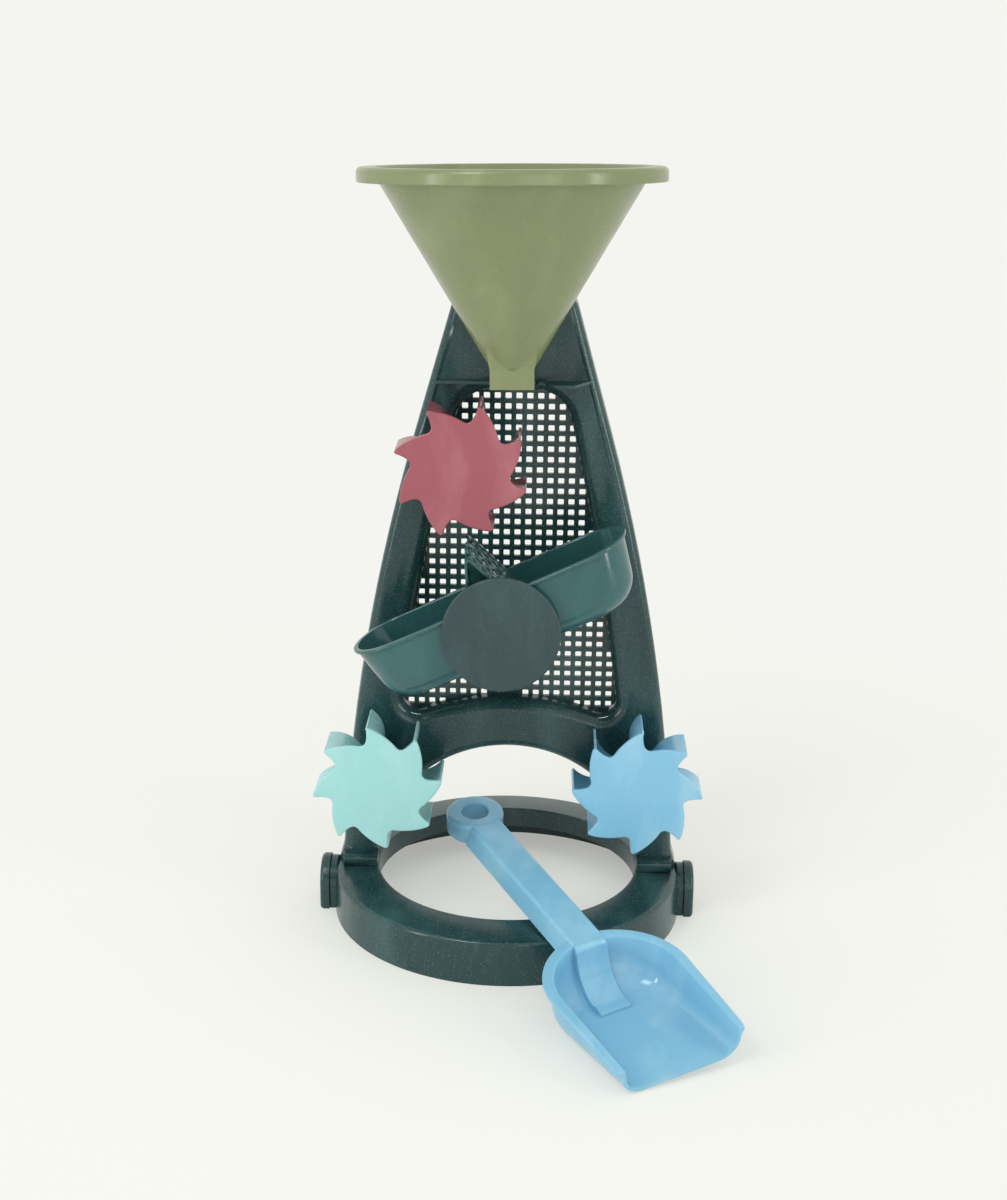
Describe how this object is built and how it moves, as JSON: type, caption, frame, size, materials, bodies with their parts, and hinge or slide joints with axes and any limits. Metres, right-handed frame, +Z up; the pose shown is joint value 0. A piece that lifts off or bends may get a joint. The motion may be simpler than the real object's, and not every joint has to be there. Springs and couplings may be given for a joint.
{
  "type": "sand wheel toy",
  "caption": "Sand wheel toy: a tapering sieve tower on an open ring, with a lift-off funnel, star wheels, a tipping bucket and a loose shovel.",
  "frame": {"origin": "centre of the base ring, on the ground it rests on", "axes": "+X to the right and +Y away from the viewer who faces the wheels, +Z up"},
  "size_m": [0.2152, 0.2862, 0.3974],
  "materials": {
    "dark_green": "moulded polypropylene, dark green with fine pale specks, satin",
    "olive": "moulded polypropylene, olive green with faint swirls, semi-gloss",
    "rose": "moulded polypropylene, dusty rose, gloss",
    "mint": "moulded polypropylene, pale mint, gloss",
    "sky": "moulded polypropylene, light blue, gloss",
    "teal": "moulded polypropylene, deep teal, satin gloss",
    "slate": "moulded polypropylene, slate green, satin gloss"
  },
  "bodies": {
    "stand": {"base_ring": "dark_green", "left_foot_plug": "dark_green", "right_foot_plug": "dark_green", "tower_frame": "dark_green", "sieve_grille": "dark_green", "upper_axle": "dark_green", "left_axle": "dark_green", "right_axle": "dark_green", "bucket_axle": "dark_green"},
    "upper_wheel": {"upper_wheel": "rose"},
    "left_wheel": {"left_wheel": "mint"},
    "right_wheel": {"right_wheel": "sky"},
    "bucket": {"tipping_bucket": "teal", "bucket_divider": "teal", "bucket_disc": "slate"},
    "funnel": {"funnel": "olive"},
    "shovel": {"shovel": "sky"}
  },
  "joints": [
    {"name": "upper_wheel_spin", "type": "hinge", "parent": "stand", "child": "upper_wheel", "pos_m": [-0.025, -0.008, 0.249], "axis": [0, 1, 0], "continuous": true},
    {"name": "left_wheel_spin", "type": "hinge", "parent": "stand", "child": "left_wheel", "pos_m": [-0.067, -0.008, 0.0806], "axis": [0, 1, 0], "continuous": true},
    {"name": "right_wheel_spin", "type": "hinge", "parent": "stand", "child": "right_wheel", "pos_m": [0.067, -0.008, 0.0806], "axis": [0, 1, 0], "continuous": true},
    {"name": "bucket_tip", "type": "hinge", "parent": "stand", "child": "bucket", "pos_m": [-0.0035, -0.0125, 0.1734], "axis": [0, 1, 0], "range_deg": [0, 50.8]},
    {"name": "funnel_lift", "type": "slide", "parent": "stand", "child": "funnel", "axis": [-0.0157, 0.0558, 0.9983], "range_m": [0, 0.08]},
    {"name": "shovel_lift", "type": "slide", "parent": "stand", "child": "shovel", "axis": [0.4264, -0.7538, 0.5], "range_m": [0, 0.17]}
  ]
}
